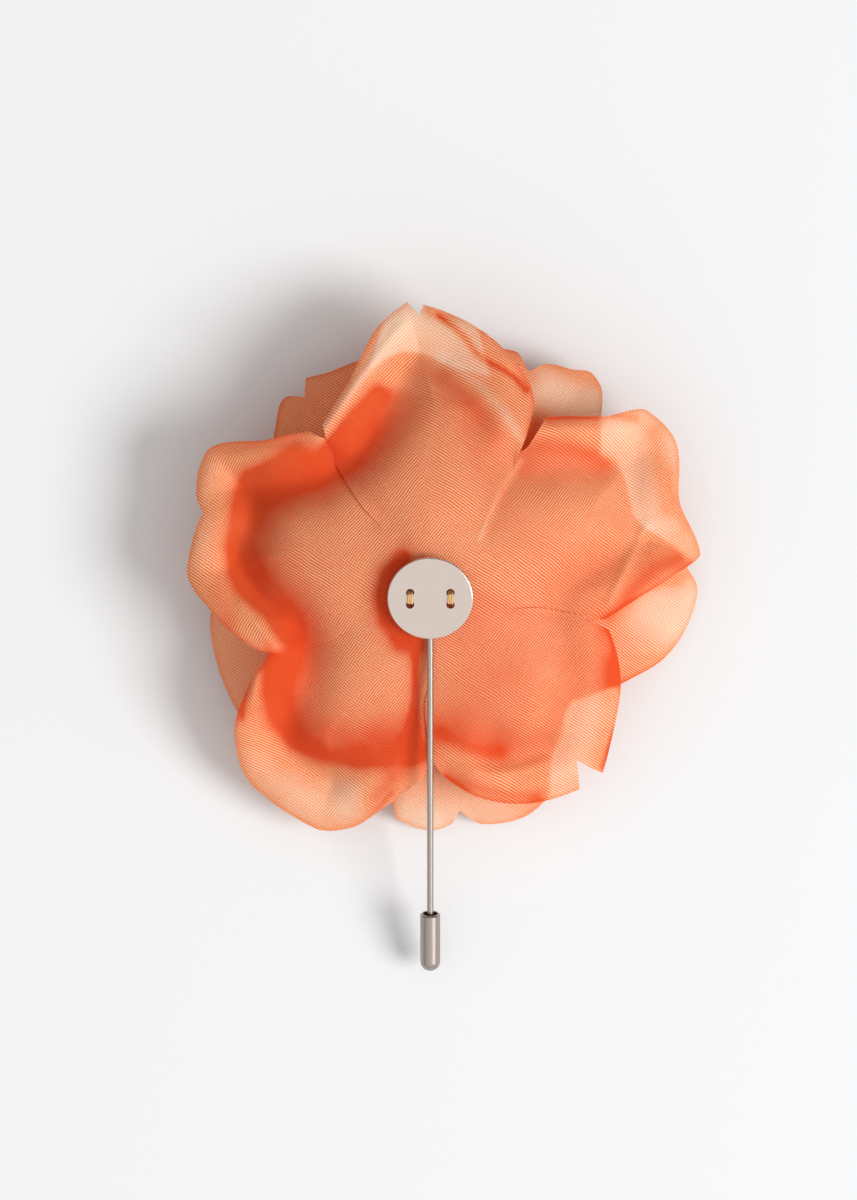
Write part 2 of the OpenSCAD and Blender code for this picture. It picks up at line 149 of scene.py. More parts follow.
# The creases that run in from the slits, and their depth here as a share of the part's
SEAM_W = 6
SEAM_FROM = 8
SEAM_FULL = 20
SEAM_SHARE = 0.6
# The lower layers step down between these radii, and the lean of the middle fades over this
STEP_FROM = 4
STEP_FULL = 18
LEAN_FADE = 26
# Powers of the fall towards the rim, in the outer and the inner layers
DOME_BEND = 2.2
CUP_BEND = 2.3
# The petals are one piece out to this radius, and lap over each other outside it
JOIN_R = 15
# Width of the laps above and below, their rise and fall, and how far these reach from the edge
LAP_OVER = 1.1
LAP_UNDER = 2.6
LAP_RISE = 0.2
LAP_RISE_W = 3
LAP_FALL = 0.5
LAP_FALL_W = 5
# Shares of the way to the rim over which a lap opens and rises, and over which its petals part
LAP_OPENS = 0.35
LAP_RISES = 0.3
PART_WAY = 0.22
# How strongly a lap keeps to the petal's side
LAP_POWER = 6
# How far beside a slit the two petals share their height, and where on the way this ends
LAP_SHARE = 7
SHARE_FROM = 0.55
SHARE_END = 0.85
# How much painted shade deepens the right and painted light pales the left, to even out the key light from
# the right, and where this changes
SIDE_SHADE = 0.14
SIDE_W = 30
SIDE_FROM = 8
SIDE_FULL = 25
# How much painted light pales a single sheet, as if the lit floor shone through it, and half the width of
# its outline
SHEER_LIGHT = 0.75
SHEER_LIGHT_EDGE = 0.5
# How far a rim's lift blends around the nearest point
BLEND_W = 1.2
# Points nearer to each other than this are joined, in metres
WELD = 1e-6
# Painted shade in the hollow inside the rolled rim, a painted highlight on the rim itself, and a deeper
# line along the edge: strength, distance in, half width
HOLLOW_SHADE = (0.2, 11, 4)
RIM_HIGHLIGHT = (0.12, 4, 3)
EDGE_DEEPER = (0.45, 0, 0.6)
# A fold's painted shade or painted light: the share in its core, and how many times wider the rest is
CORE_SHARE = 0.62
REST_WIDE = 2.2
# A fold with more painted shade and wider than these is a hollow. Its painted shade reaches this many half
# widths in and out, further in the deeper it is, and it changes over the distances from the fold's line
DEEP_TINT = 0.6
DEEP_WIDTH = 2.1
DEEP_IN = 2
DEEP_GROWS = 1.3
DEEP_OUT = 0.65
DEEP_CHANGE = (-3, 1.5)
# A hollow's narrow core and its wide haze of painted shade: strength, and width in half widths of the fold.
# They take DEEP_LESS off the rest
DEEP_CORE = (0.3, 0.7)
DEEP_HAZE = (0.14, 3)
DEEP_LESS = 0.4
# For each slit, 1 where the petal after it lies over the one before, else 0
BACK_LAPS = [0, 1, 0, 0, 1]
EVEN_LAPS = [1, 1, 1, 1, 1]
# For each slit, the share of the way to the rim where the petals part again
BACK_PARTS = [0.72, 0.55, 0.78, 0.78, 0.85]
EVEN_PART = 0.7
# Rings of points inside JOIN_R and outside it, and the distance of the points along the rim
BACK_MESH = (16, 74, 0.75)
SECOND_MESH = (14, 60, 0.85)
THIRD_MESH = (14, 36, 0.8)
FOURTH_MESH = (14, 24, 0.8)

# Height of the bud's free edge, which is a little lower in the part
BUD_LOW = 4
# The bud's steps along its winding and across the strip
BUD_STEPS = 220
BUD_ROWS = 26
# The share by which it narrows towards its free edge in the middle
BUD_NARROWS = 0.14
# Sideways ripples of its free edge: height, waves in a turn, and their share in the middle
BUD_RIPPLE = 0.35
BUD_RIPPLES = 5.3
BUD_RIPPLE_IN = 0.4
# The same up and down
BUD_FRILL = 0.3
BUD_FRILLS = 9
# How unevenly the free edge is cut, as a share of the strip's width, and its waves in a turn
BUD_UNEVEN = 0.12
BUD_WAVES = 1.2
# The free edge curls out by this much, from this share of the width
BUD_CURL = 0.9
BUD_CURL_FROM = 0.86
# How much deeper the colour is towards the root, and how much paler the free edge is, over which share of
# the width
BUD_ROOT_DEEPER = 0.5
BUD_PALE = 0.3
BUD_PALE_W = 0.1

# The strands of a stitch, the points along each and its radius
STRANDS = 3
STRAND_POINTS = 41
STRAND_R = 0.2
# Distance between them, its share in the middle, and how much this closes to the ends
STRAND_GAP = 0.32
STRAND_SPREAD = 1.15
STRAND_CLOSES = 0.3
# Height over the disc, arch there, and depth in the flower
STRAND_OVER = 0.12
STRAND_ARCH = 0.26
STRAND_DEEP = 7.5
# Distance in from the holes' middles
STRAND_INSET = 0.42
# How much they differ, and its waves along a strand and from one to the next
STRAND_UNLIKE = 0.06
STRAND_WAVES = (7, 2)
TUBE_SIDES = 10
# A direction that no thread runs along
ASIDE = (0.3, 0.9, 0.1)

# Narrow notches in the rims, as azimuths from and to; the rim's flare runs straight past them
NOTCHES = [(91.4, 94.4), (308.3, 314.3), (64, 70), (119.8, 125), (275.8, 282)]

# Folds of the back petals: the points of a line in millimetres, its half width, its
# height, and its painted shading, above 0 painted shade, deeper, and below 0 painted light, paler. The sum
# is cut at 1 and -1
BACK_FOLDS = [
    # right petal
    ([(20, 30.6), (27, 30.2), (32, 28.8), (34.6, 27)], 3, -0.3, 0.62),
    ([(22, 33.6), (28, 34), (34, 33.2)], 1.1, 0.3, 0),
    ([(30, 20), (38, 14)], 6, 0, -0.2),
    ([(23.5, 35.6), (29, 36.2), (34, 36)], 1, -0.2, 0.5),
    ([(49.5, 7.6), (45, 6.4), (40, 1.5), (36, -5)], 3, -0.4, 0.75),
    ([(44.6, 33), (46, 26), (47.2, 18)], 2, 0, 0.75),
    ([(38, 21), (41, 13)], 5, 0, -0.2),
    ([(43, 14), (39, 6.5), (35.8, -1)], 1.1, 0.7, -0.3),
    ([(47.6, 25.5), (48.2, 21.5), (49.2, 17.5), (51.5, 14)], 0.9, 0, 0.5),
    ([(37, 36.4), (41, 35.8)], 0.7, 0, 0.7),
    ([(22, 14), (28, 10)], 9, 0.3, 0.14),
    ([(49, 11.6), (53, 10.6)], 2.4, 0, 0.35),
    # slit between the right and the top petal
    ([(17.9, 27.4), (13.9, 21.6), (9.8, 12)], 0.5, 0.1, -0.5),
    ([(18.6, 26.4), (14.8, 20.8), (11, 12)], 1.4, -0.15, 0.1),
    # top petal
    ([(-18.6, 31.2), (-14.4, 36.8), (-10.6, 40.8)], 3.8, -0.3, 1.25),
    ([(-5, 39), (-3, 40)], 3, -0.1, -0.38),
    ([(3, 43.6), (6.5, 41), (10.4, 37.6), (13.6, 33.4)], 2.8, 0.25, 0.6),
    ([(2.7, 47.9), (9.2, 42.6), (14.5, 36.7), (18.2, 31.4)], 1.3, 0.1, -0.85),
    ([(1.5, 56.4), (4.7, 54), (7.1, 51.6), (8.9, 49), (11.3, 47.2), (14.1, 45.8), (16.9, 43.9), (19, 41.4)],
     0.5, -0.5, 1.2),
    ([(6, 54.5), (10.5, 50.6), (15, 47)], 2, 0.5, 0.15),
    ([(-0.5, 57.2), (3.5, 55.8)], 0.8, 0, 0.8),
    ([(-21.6, 32.6), (-18.2, 37.4), (-14.8, 42.4), (-9.5, 49.5), (-6, 54)], 1, 0.5, -0.65),
    # the left petal, and its slit below the top petal
    ([(-35.8, 23), (-38.4, 18), (-39.4, 10.5), (-37, 3.6)], 4.2, -0.4, 1.1),
    ([(-24, 28.8), (-29.6, 27.6), (-35, 24)], 4, -0.3, 0.78),
    ([(-37, 5), (-34.8, 1.4), (-31, -3), (-28.4, -6.6)], 1.8, -0.5, 0.9),
    ([(-22.6, 27.6), (-21, 24.5)], 3, -0.2, 0),
    ([(-18, 24), (-15, 20)], 3, 0.1, -0.25),
    ([(-38, 0), (-39.5, -6), (-38, -12)], 2.2, 0, 0.3),
    ([(-20, 27.5), (-16.6, 24), (-10.5, 17), (-5.6, 12)], 2, -0.3, 0.15),
    ([(-43, 29.3), (-36, 30.2), (-27, 31)], 1.2, -0.2, 0.4),
    ([(-44.5, 25), (-46.5, 18), (-46.8, 10)], 2, 0.3, -0.1),
    ([(-43.6, 2), (-40, -4)], 1.6, 0, 0.4),
    ([(-37.6, -1.6), (-34, -5.4), (-30.6, -9.4)], 1.2, 0.6, -0.6),
    ([(-26, -2), (-24.6, -9), (-25.4, -14)], 4.5, -0.1, 0.22),
    # painted shadow of the disc on the sewn middle beside it
    ([(-5.6, 7.8), (-8.4, 4.4), (-9.4, 0), (-8.6, -4.4), (-6, -7.6)], 1.5, -0.15, 1.6),
    # lower left petal
    ([(-31.6, -12), (-32.4, -18.6), (-31, -24), (-27, -28.8), (-21, -31.6), (-15, -32.8), (-9.6, -32.4)],
     3.9, -0.25, 1.03),
    ([(-34.6, -15), (-35.4, -20)], 0.9, 0.4, -0.2),
    ([(-36, -21), (-35, -28)], 2.6, 0, 0.3),
    ([(-36.8, -17), (-37.6, -24)], 0.7, 0, 0.8),
    ([(-28.6, -13.5), (-29.2, -20)], 2.6, 0, 0.3),
    ([(-22, -26.4), (-12, -26.4)], 2.5, 0, 0.2),
    ([(-35, -33), (-28, -38.5), (-21, -40), (-16.6, -39.4)], 4.4, 0.2, -0.1),
    ([(-25, -39.5), (-20, -39), (-16, -39)], 3.4, 0, -0.25),
    ([(-18, -36.5), (-17.2, -42)], 2.4, 0, -0.35),
    ([(-14, -36), (-13.8, -44)], 0.5, 0, -0.1),
    ([(-11.5, -40), (-8.6, -37.2), (-5, -34), (-2.6, -31.4)], 1.9, -0.2, 0.65),
    # painted shadow of the pin's shaft, then painted shadow under the disc
    ([(-3, -9), (-3, -20), (-4.1, -30)], 0.9, 0, 0.9),
    ([(-6, -9.4), (-2, -9.6)], 1.3, 0, 0.7),
    # lower right petal
    ([(2.6, -27.4), (7, -29.6), (12, -31), (14, -31)], 3, -0.4, 0.64),
    ([(24, -4), (24, -14)], 3.5, 0, -0.25),
    ([(35, -13), (35.4, -22), (33, -32)], 2.4, 0, 0.5),
    ([(22, -39), (29, -37)], 1.8, 0, 0.35),
    ([(8, -7), (13, -13)], 8, 0, 0.38),
    ([(5, -33.8), (13, -35.2), (19, -34), (23, -32.4)], 1.1, 0.5, 0.1),
    ([(3, -35.6), (8, -37.6), (14, -39.2), (21, -39.9)], 1.3, -0.3, 0.55),
    ([(19, -30), (23, -27), (26, -22.5), (31, -18), (36, -15.6)], 2.1, -0.25, 0.08),
    ([(15, -36.4), (21, -35.6)], 1.4, 0, -0.3),
    ([(37.8, -9), (38, -14), (37.8, -17)], 1.6, -0.2, 0.8),
    ([(37, -26.5), (35.6, -30.5), (34.4, -34)], 0.8, 0, 0.9),
    ([(10, 0), (17, -3), (24, -4)], 1.6, -0.2, 0.2),
    ([(14, -18), (22, -15)], 8, 0.3, 0.16),
]
# Places where the back petals lie over nothing and get painted light, paler as if the lit floor shone
# through, each with a crisp outline
BACK_SHEER_LIGHT = [
    [(33.9, 40), (33.9, 28.6), (37, 27.4), (38.8, 23.5), (40.6, 16.6), (42.5, 14.3), (45.5, 12.5),
     (48.9, 10), (52.3, 7.6), (62, 6), (62, 45)],
    [(41, -16.4), (38.4, -17.1), (35, -18.4), (31.7, -19.6), (28.5, -20.4), (27, -22.8), (26.2, -27.6),
     (24.3, -31.3), (23.9, -35.3), (23.6, -42), (50, -42), (50, -17)],
    [(-12, 45.5), (-9, 47.6), (-6, 49), (-1, 48.7), (2, 46.9), (6, 45.6), (12, 44), (8, 60), (-8, 60)],
]
# Folds of the second petals, in the same columns: above 0 painted shade, below 0 painted light
SECOND_FOLDS = [
    ([(46, -1), (49, -5), (52, -1)], 7, 0.2, -1.05),
    ([(36, -3.5), (42, 2.5), (50, 4)], 1.6, 0, 0.8),
    ([(38, -18), (44, -17), (50, -13)], 4, 0, 0.5),
    ([(23, 41.5), (28, 40), (33, 38)], 5, 0.2, -1),
    ([(25, 47.4), (30, 44), (34, 43.4)], 1.8, 0, 0.4),
    ([(14, 50), (19, 47.5), (20.5, 44)], 1.6, 0, 0.4),
    ([(17.5, 26), (21.4, 35)], 1.8, 0, 1),
    ([(-19, 42), (-30, 36)], 9, 0, 0.4),
    ([(-5, -44), (0, -45)], 3, 0.2, -0.6),
    ([(2, -44), (14, -44)], 5, 0.2, -0.6),
]


def inner_petals(turn):
    """The rows of a ring of equal petals."""
    wide = 360 / INNER_PETALS
    return [[[turn + (k + row[0]) * wide, *row[1:]] for row in INNER_PETAL] for k in range(INNER_PETALS)]


def layer(petals, reach, depth, fall, bend, outer, lift, hollow=0, seam=0, step=0):
    """The sizes of one layer of petals."""
    return dict(petals=petals, reach=reach, depth=depth, fall=fall, bend=bend, outer=outer,
                lift=lift, hollow=hollow, seam=seam, step=step)


BACK = layer(BACK_PETALS, BACK_REACH, 0, BACK_DROP, DOME_BEND, LEAN_OUT, RIM_LIFT, RIM_HOLLOW, SEAM_DEPTH)
SECOND = layer(SECOND_PETALS, SECOND_REACH, STACK, SECOND_DROP + SECOND_MORE, DOME_BEND, LEAN_OUT,
               SECOND_LIFT, step=DIP)
THIRD = layer(inner_petals(THIRD_TURN), THIRD_REACH, 2 * STACK, FLOWER_H - 2 * STACK - DIP, CUP_BEND, 0,
              CLOTH_T, step=DIP)
FOURTH = layer(inner_petals(FOURTH_TURN), FOURTH_REACH, 3 * STACK,
               FLOWER_H - 3 * STACK - DIP - FOURTH_RISE, CUP_BEND, 0, CLOTH_T, step=DIP)


def bell(x, width):
    """1 at 0, falling to about a third at the width."""
    return np.exp(-(x / width) ** 2)


def ramp(x, low, high):
    """Rises smoothly from 0 at low to 1 at high."""
    t = np.clip((x - low) / (high - low), 0, 1)
    return t * t * (3 - 2 * t)


def slopes(rows, c):
    """Slopes of column c before and after each row of an open run, flat at peaks and dips."""
    n = len(rows)
    width = [rows[i + 1][0] - rows[i][0] for i in range(n - 1)]
    secant = [(rows[i + 1][c] - rows[i][c]) / width[i] for i in range(n - 1)]
    found = []
    for i in range(n):
        before, after = secant[max(i - 1, 0)], secant[min(i, n - 2)]
        if i == 0 or i == n - 1 or rows[i][3] == 1:
            found.append((before, after))
        elif before * after <= 0:
            found.append((0, 0))
        else:
            wa, wd = width[i - 1], width[i]
            mean = 3 * (wa + wd) / ((2 * wd + wa) / before + (wd + 2 * wa) / after)
            found.append((mean, mean))
    return found


def edge_of(rows, reach, step):
    """The rim of one petal: azimuth, reach and lift at points about step apart."""
    run = rows[1:]
    curves = {c: slopes(run, c) for c in (1, 2)}
    points = []
    for i in range(len(run) - 1):
        a, b = run[i], run[i + 1]
        w = b[0] - a[0]
        arc = math.hypot(math.radians(w) * a[1] * reach, (b[1] - a[1]) * reach)
        count = max(2, math.ceil(arc / step))
        for t in np.arange(count + (i == len(run) - 2)) / count:
            point = [a[0] + w * t]
            for c in (1, 2):
                ma, mb = curves[c][i][1] * w, curves[c][i + 1][0] * w
                point.append(a[c] * (1 + 2 * t) * (1 - t) ** 2 + ma * t * (1 - t) ** 2
                             + b[c] * t * t * (3 - 2 * t) - mb * t * t * (1 - t))
            points.append(point)
    return np.array(points)


def nearest(x, y, path, values):
    """Distance to a polyline, and the value carried by its nearest point."""
    p = np.stack([x, y], -1)[..., None, :]
    a, b = path[:-1], path[1:]
    ab = b - a
    t = np.clip(((p - a) * ab).sum(-1) / np.maximum((ab ** 2).sum(-1), 1e-9), 0, 1)
    off = np.linalg.norm(p - (a + t[..., None] * ab), axis=-1)
    k = off.argmin(-1)
    dist = np.take_along_axis(off, k[..., None], -1)[..., 0]
    weight = np.exp(-(off - dist[..., None]) / BLEND_W)
    held = values[:-1] * (1 - t) + values[1:] * t
    return dist, (held * weight).sum(-1) / weight.sum(-1)


def dome(lay, x, y):
    """Height of a layer before its rim is rolled."""
    r = np.hypot(x, y)
    outer = math.tan(math.radians(lay["outer"]))
    lean = y * (outer + (math.tan(math.radians(LEAN_MID)) - outer) * bell(r, LEAN_FADE))
    return (FLOWER_H - lay["depth"] + lean - lay["fall"] * (r / lay["reach"]) ** lay["bend"]
            - lay["step"] * ramp(r, STEP_FROM, STEP_FULL))


def rim(lay, d, lift):
    """Rise or fall of the rim at distance d inside the edge."""
    flare = 0.5 + 0.5 * np.cos(np.pi * np.minimum(d / FLARE_W, 1))
    hollow = np.where(d < HOLLOW_IN, bell(d - HOLLOW_IN, HOLLOW_W), bell(d - HOLLOW_IN, HOLLOW_WIDE))
    hollow = hollow * np.clip(lift / HOLLOW_LIFT, HOLLOW_LEAST, 1)
    return lift * lay["lift"] * flare - HOLLOW_MORE * lay["hollow"] * hollow


def crease(lay, r, a):
    """Depth of the crease that runs inwards from the nearest slit."""
    slits = np.array([rows[0][0] for rows in lay["petals"]])
    off = np.abs((a[..., None] - slits + 180) % 360 - 180).min(-1)
    return lay["seam"] * bell(np.radians(off) * r, SEAM_W) * ramp(r, SEAM_FROM, SEAM_FULL)


def lap_over(laps, k, after):
    """Whether petal k lies over its neighbour on the side after it, or before it."""
    return laps[(k + 1) % len(laps)] == 0 if after else laps[k] == 1


def inside_of(x, y, outline):
    """1 inside an outline and 0 outside it, over a soft line."""
    ring = np.array(outline + outline[:1], float)
    far, _ = nearest(x, y, ring, np.zeros(len(ring)))
    held = np.zeros(x.shape, bool)
    for (ax, ay), (bx, by) in zip(ring[:-1], ring[1:]):
        if ay != by:
            held ^= ((ay > y) != (by > y)) & (x < ax + (bx - ax) * (y - ay) / (by - ay))
    return ramp(np.where(held, far, -far), -SHEER_LIGHT_EDGE, SHEER_LIGHT_EDGE)


def rim_path(lay, k, step):
    """The rim of petal k as points and lifts, without its narrow notches."""
    points = edge_of(lay["petals"][k], lay["reach"], step)
    turn = np.radians(points[:, 0])
    path = np.stack([np.cos(turn), np.sin(turn)], -1) * (points[:, 1] * lay["reach"])[:, None]
    even = np.array([not any(a < z % 360 < b for a, b in NOTCHES) for z in points[:, 0]])
    return points, path[even], points[even, 2]


def petal_grid(lay, rays, rim_points, inner, outer):
    """Radius, azimuth and share of the way to the rim at the points of a petal without its laps,
    and the share of the way across it."""
    across = np.linspace(0, 1, len(rim_points))
    ray = rays[0] * (1 - across) + rays[1] * across
    t = np.linspace(0, 1, outer + 1)[1:, None]
    radius = np.concatenate([np.linspace(0, JOIN_R, inner + 1)[1:, None] + 0 * across,
                             JOIN_R * (1 - t) + rim_points[:, 1] * lay["reach"] * t])
    azimuth = np.concatenate([ray + np.zeros((inner, 1)), ray * (1 - t ** 3) + rim_points[:, 0] * t ** 3])
    way = np.concatenate([np.zeros((inner, 1)), t])
    return radius, azimuth, way, across


def lapped(lay, k, laps, radius, azimuth, way, across):
    """Azimuths widened so that petal k laps its neighbours, and the rise or fall of its laps."""
    rise = 0 * radius
    for side, share in ((0, 1 - across), (1, across)):
        over = lap_over(laps, k, side == 1)
        part = BACK_PARTS[(k + side) % len(BACK_PARTS)] if lay["hollow"] else EVEN_PART
        width = np.degrees((LAP_OVER if over else LAP_UNDER) / radius) * ramp(way, 0, LAP_OPENS)
        width = width * (1 - ramp(way, part, part + PART_WAY))
        azimuth = azimuth + (2 * side - 1) * width * share ** LAP_POWER
        inside = np.radians(np.abs(azimuth - azimuth[:, [-side]])) * radius
        lap = LAP_RISE * bell(inside, LAP_RISE_W) if over else -LAP_FALL * bell(inside, LAP_FALL_W)
        rise = rise + lap * ramp(way, 0, LAP_RISES)
    return azimuth, rise


def shared_rim(lay, k, rays, step, rise, x, y, radius, azimuth, way):
    """The rim's rise, on one surface with the neighbour's where the two petals lap."""
    for side, ray in ((-1, rays[0]), (1, rays[1])):
        _, other, other_lifts = rim_path(lay, (k + side) % len(lay["petals"]), step)
        past = np.radians(np.abs(azimuth - ray)) * radius
        past = np.where((azimuth - ray) * side > 0, -past, past)
        share = 0.5 - 0.5 * np.clip(past / LAP_SHARE, -1, 1)
        share = share * (1 - ramp(way, SHARE_FROM, SHARE_END))
        rise = rise * (1 - share) + rim(lay, *nearest(x, y, other, other_lifts)) * share
    return rise


def fold_shading(off, beyond, width, tint):
    """Painted shade or painted light of a fold at the distance off from its line. Beyond is how much
    further out that is.
    """
    if tint <= DEEP_TINT or width <= DEEP_WIDTH:
        return tint * (CORE_SHARE * bell(off, width) + (1 - CORE_SHARE) * bell(off, REST_WIDE * width))
    # A hollow's painted shade ends sharply towards the rim and fades slowly towards the middle
    inner = DEEP_IN + DEEP_GROWS * (tint - DEEP_TINT)
    soft = width * (inner - (inner - DEEP_OUT) * ramp(beyond, *DEEP_CHANGE))
    core, core_w = DEEP_CORE
    haze, haze_w = DEEP_HAZE
    return ((tint - DEEP_LESS) * bell(off, soft) + core * bell(off, core_w * width)
            + haze * bell(off, haze_w * width))


def band(d, strength, middle, width):
    """A soft band of painted shade, painted light or deeper colour at a distance inside the edge."""
    return strength * bell(d - middle, width)


def petal_points(lay, k, inner, outer, step, laps, folds, sheer_light):
    """Points of one petal in the flower frame, shape (rings, points, 3), and their painted shading and dye.
    """
    petals = lay["petals"]
    start, after = petals[k][0][0], petals[(k + 1) % len(petals)][0][0]
    rays = (start, after + (360 if after < start else 0))
    rim_points, path, lifts = rim_path(lay, k, step)
    radius, azimuth, way, across = petal_grid(lay, rays, rim_points, inner, outer)
    azimuth, lap_rise = lapped(lay, k, laps, radius, azimuth, way, across)
    x = radius * np.cos(np.radians(azimuth))
    y = radius * np.sin(np.radians(azimuth))
    d, lift = nearest(x, y, path, lifts)
    rise = shared_rim(lay, k, rays, step, rim(lay, d, lift), x, y, radius, azimuth, way)
    z = dome(lay, x, y) - SEAM_SHARE * crease(lay, radius, azimuth) + lap_rise
    z = z + ramp(radius, MID_R, 2 * MID_R) * rise
    # Painted shade in the hollow inside the rim, a painted highlight on the rim, and a deeper line along
    # the edge
    shading_and_dye = (band(d, *HOLLOW_SHADE) - band(d, *RIM_HIGHLIGHT)) * (lay["hollow"] > 0) + band(d, *EDGE_DEEPER)
    # Painted shade on the right and painted light on the left, against the key light's fall from side to
    # side
    shading_and_dye = shading_and_dye + SIDE_SHADE * np.clip(x / SIDE_W, -1, 1) * ramp(radius, SIDE_FROM, SIDE_FULL)
    for points, width, height, tint in folds:
        line = np.array(points, float)
        off, at = nearest(x, y, line, np.hypot(*line.T))
        z = z + height * bell(off, width)
        shading_and_dye = shading_and_dye + fold_shading(off, radius - at, width, tint)
    # Painted light where a single sheet lies over the lit floor
    for outline in sheer_light:
        shading_and_dye = shading_and_dye - SHEER_LIGHT * inside_of(x, y, outline)
    return np.stack([x, y, z], -1), np.clip(shading_and_dye, -1, 1)


def sheet_mesh(name, grids, shadings_and_dyes, middle):
    """One mesh of grids of points that share the point in the middle."""
    points, flats, faces = [np.array([middle])], [np.zeros((1, 2))], []
    first = 1
    for grid in grids:
        rings, across, _ = grid.shape
        path = np.concatenate([np.broadcast_to(middle, (1, across, 3)), grid])
        along = np.linalg.norm(np.diff(path, axis=0), axis=-1).cumsum(0)
        turn = np.arctan2(grid[..., 1], grid[..., 0])
        points.append(grid.reshape(-1, 3))
        flats.append((along[..., None] * np.stack([np.cos(turn), np.sin(turn)], -1)).reshape(-1, 2))
        at = first + np.arange(rings * across).reshape(rings, across)
        faces += [(0, int(a), int(b)) for a, b in zip(at[0, :-1], at[0, 1:])]
        faces += quads_of(at)
        first += rings * across
    shading_and_dye = np.concatenate([[0]] + [d.ravel() for d in shadings_and_dyes])
    return cloth_mesh(name, np.concatenate(points), faces, np.concatenate(flats), shading_and_dye)


def quads_of(at):
    """The four-sided faces of a grid of point numbers."""
    return np.stack([at[:-1, :-1], at[1:, :-1], at[1:, 1:], at[:-1, 1:]], -1).reshape(-1, 4).tolist()


def cloth_mesh(name, points, faces, flats, shading_and_dye):
    """A piece of cloth from points in the flower frame. Its UV map, cloth, holds the place
    of each point on the flat blank, in metres, and its attribute how deep or pale it is painted: mostly
    painted shade and painted light, with a little real dye."""
    mesh = bpy.data.meshes.new(name)
    mesh.from_pydata((points * MM + ORIGIN).tolist(), [], faces)
    uv = mesh.uv_layers.new(name="cloth")
    loops = np.zeros(len(mesh.loops), np.int32)
    mesh.loops.foreach_get("vertex_index", loops)
    uv.data.foreach_set("uv", (flats * MM)[loops].astype(np.float32).ravel())
    values = mesh.attributes.new("shading_and_dye", "FLOAT", "POINT")
    values.data.foreach_set("value", shading_and_dye.astype(np.float32))
    return shown(name, mesh)


def shown(name, mesh):
    """The object of a mesh, smooth and without doubled points."""
    mesh.polygons.foreach_set("use_smooth", np.ones(len(mesh.polygons), bool))
    mesh.update()
    ob = bpy.data.objects.new(name, mesh)
    bpy.context.scene.collection.objects.link(ob)
    weld(ob)
    return ob


def weld(ob):
    """Joins the points that petals share along their seams."""
    bm = bmesh.new()
    bm.from_mesh(ob.data)
    bmesh.ops.remove_doubles(bm, verts=bm.verts, dist=WELD)
    bm.to_mesh(ob.data)
    bm.free()


def flower_layer(name, lay, mesh, laps, folds=(), sheer_light=()):
    """The sheet of one layer of petals."""
    middle = np.array([0, 0, float(dome(lay, np.zeros(1), np.zeros(1))[0])])
    made = [petal_points(lay, k, *mesh, laps, folds, sheer_light) for k in range(len(lay["petals"]))]
    return sheet_mesh(name, [g for g, _ in made], [d for _, d in made], middle)


def rolled_bud(name):
    """The strip of silk wound into the flower's face, sewn under the fourth petals."""
    steps = np.linspace(0, 1, BUD_STEPS + 1)
    s, f = np.meshgrid(steps, np.linspace(0, 1, BUD_ROWS + 1), indexing="ij")
    a = s * BUD_TURNS * 2 * math.pi
    r = BUD_CORE_R + (BUD_R - BUD_CORE_R - CLOTH_T) * s + CLOTH_T / 2
    r = r * (1 - BUD_NARROWS * f * (1 - s))
    r = r + BUD_RIPPLE * f * np.sin(BUD_RIPPLES * a) * (BUD_RIPPLE_IN + s)
    r = r + BUD_CURL * np.clip((f - BUD_CURL_FROM) / (1 - BUD_CURL_FROM), 0, 1) ** 2
    top = dome(FOURTH, BUD_R * np.cos(a), BUD_R * np.sin(a))
    low = BUD_LOW + BUD_UNEVEN * (top - BUD_LOW + BUD_RISE) * (1 - np.sin(BUD_WAVES * a))
    z = top + (low - top) * f + BUD_FRILL * f * np.sin(BUD_FRILLS * a)
    points = np.stack([r * np.cos(a), r * np.sin(a), z], -1)
    along = np.concatenate([[0], np.hypot(*np.diff(points[:, 0, :2], axis=0).T).cumsum()])
    flats = np.stack([along[:, None] + 0 * f, top - z], -1)
    quads = quads_of(np.arange(s.size).reshape(s.shape))
    shading_and_dye = BUD_ROOT_DEEPER * (1 - f) - BUD_PALE * bell(f - 1, BUD_PALE_W)
    return cloth_mesh(name, points.reshape(-1, 3), quads, flats.reshape(-1, 2), shading_and_dye.ravel())


def tube(name, paths, radius, sides=TUBE_SIDES):
    """Round threads that follow paths, given in metres in the row frame."""
    points, faces, flats = [], [], []
    for path in paths:
        path = np.array(path)
        ahead = np.gradient(path, axis=0)
        ahead /= np.linalg.norm(ahead, axis=1)[:, None]
        across = np.cross(ahead, ASIDE)
        across /= np.linalg.norm(across, axis=1)[:, None]
        other = np.cross(ahead, across)
        first = sum(len(p) for p in points)
        turn = np.arange(sides) * 2 * math.pi / sides
        ring = (path[:, None] + radius * (np.cos(turn)[None, :, None] * across[:, None]
                                          + np.sin(turn)[None, :, None] * other[:, None]))
        points.append(ring.reshape(-1, 3))
        length = np.concatenate([[0], np.linalg.norm(np.diff(path, axis=0), axis=1).cumsum()])
        for i in range(len(path) - 1):
            for k in range(sides):
                n = (k + 1) % sides
                faces.append([first + i * sides + k, first + i * sides + n,
                              first + (i + 1) * sides + n, first + (i + 1) * sides + k])
                flats += [(k, length[i]), (k + 1, length[i]), (k + 1, length[i + 1]), (k, length[i + 1])]
    mesh = bpy.data.meshes.new(name)
    mesh.from_pydata(np.concatenate(points).tolist(), [], faces)
    uv = mesh.uv_layers.new(name="cloth")
    size = np.array(flats) * [2 * math.pi * radius / sides, 1]
    uv.data.foreach_set("uv", size.astype(np.float32).ravel())
    return shown(name, mesh)


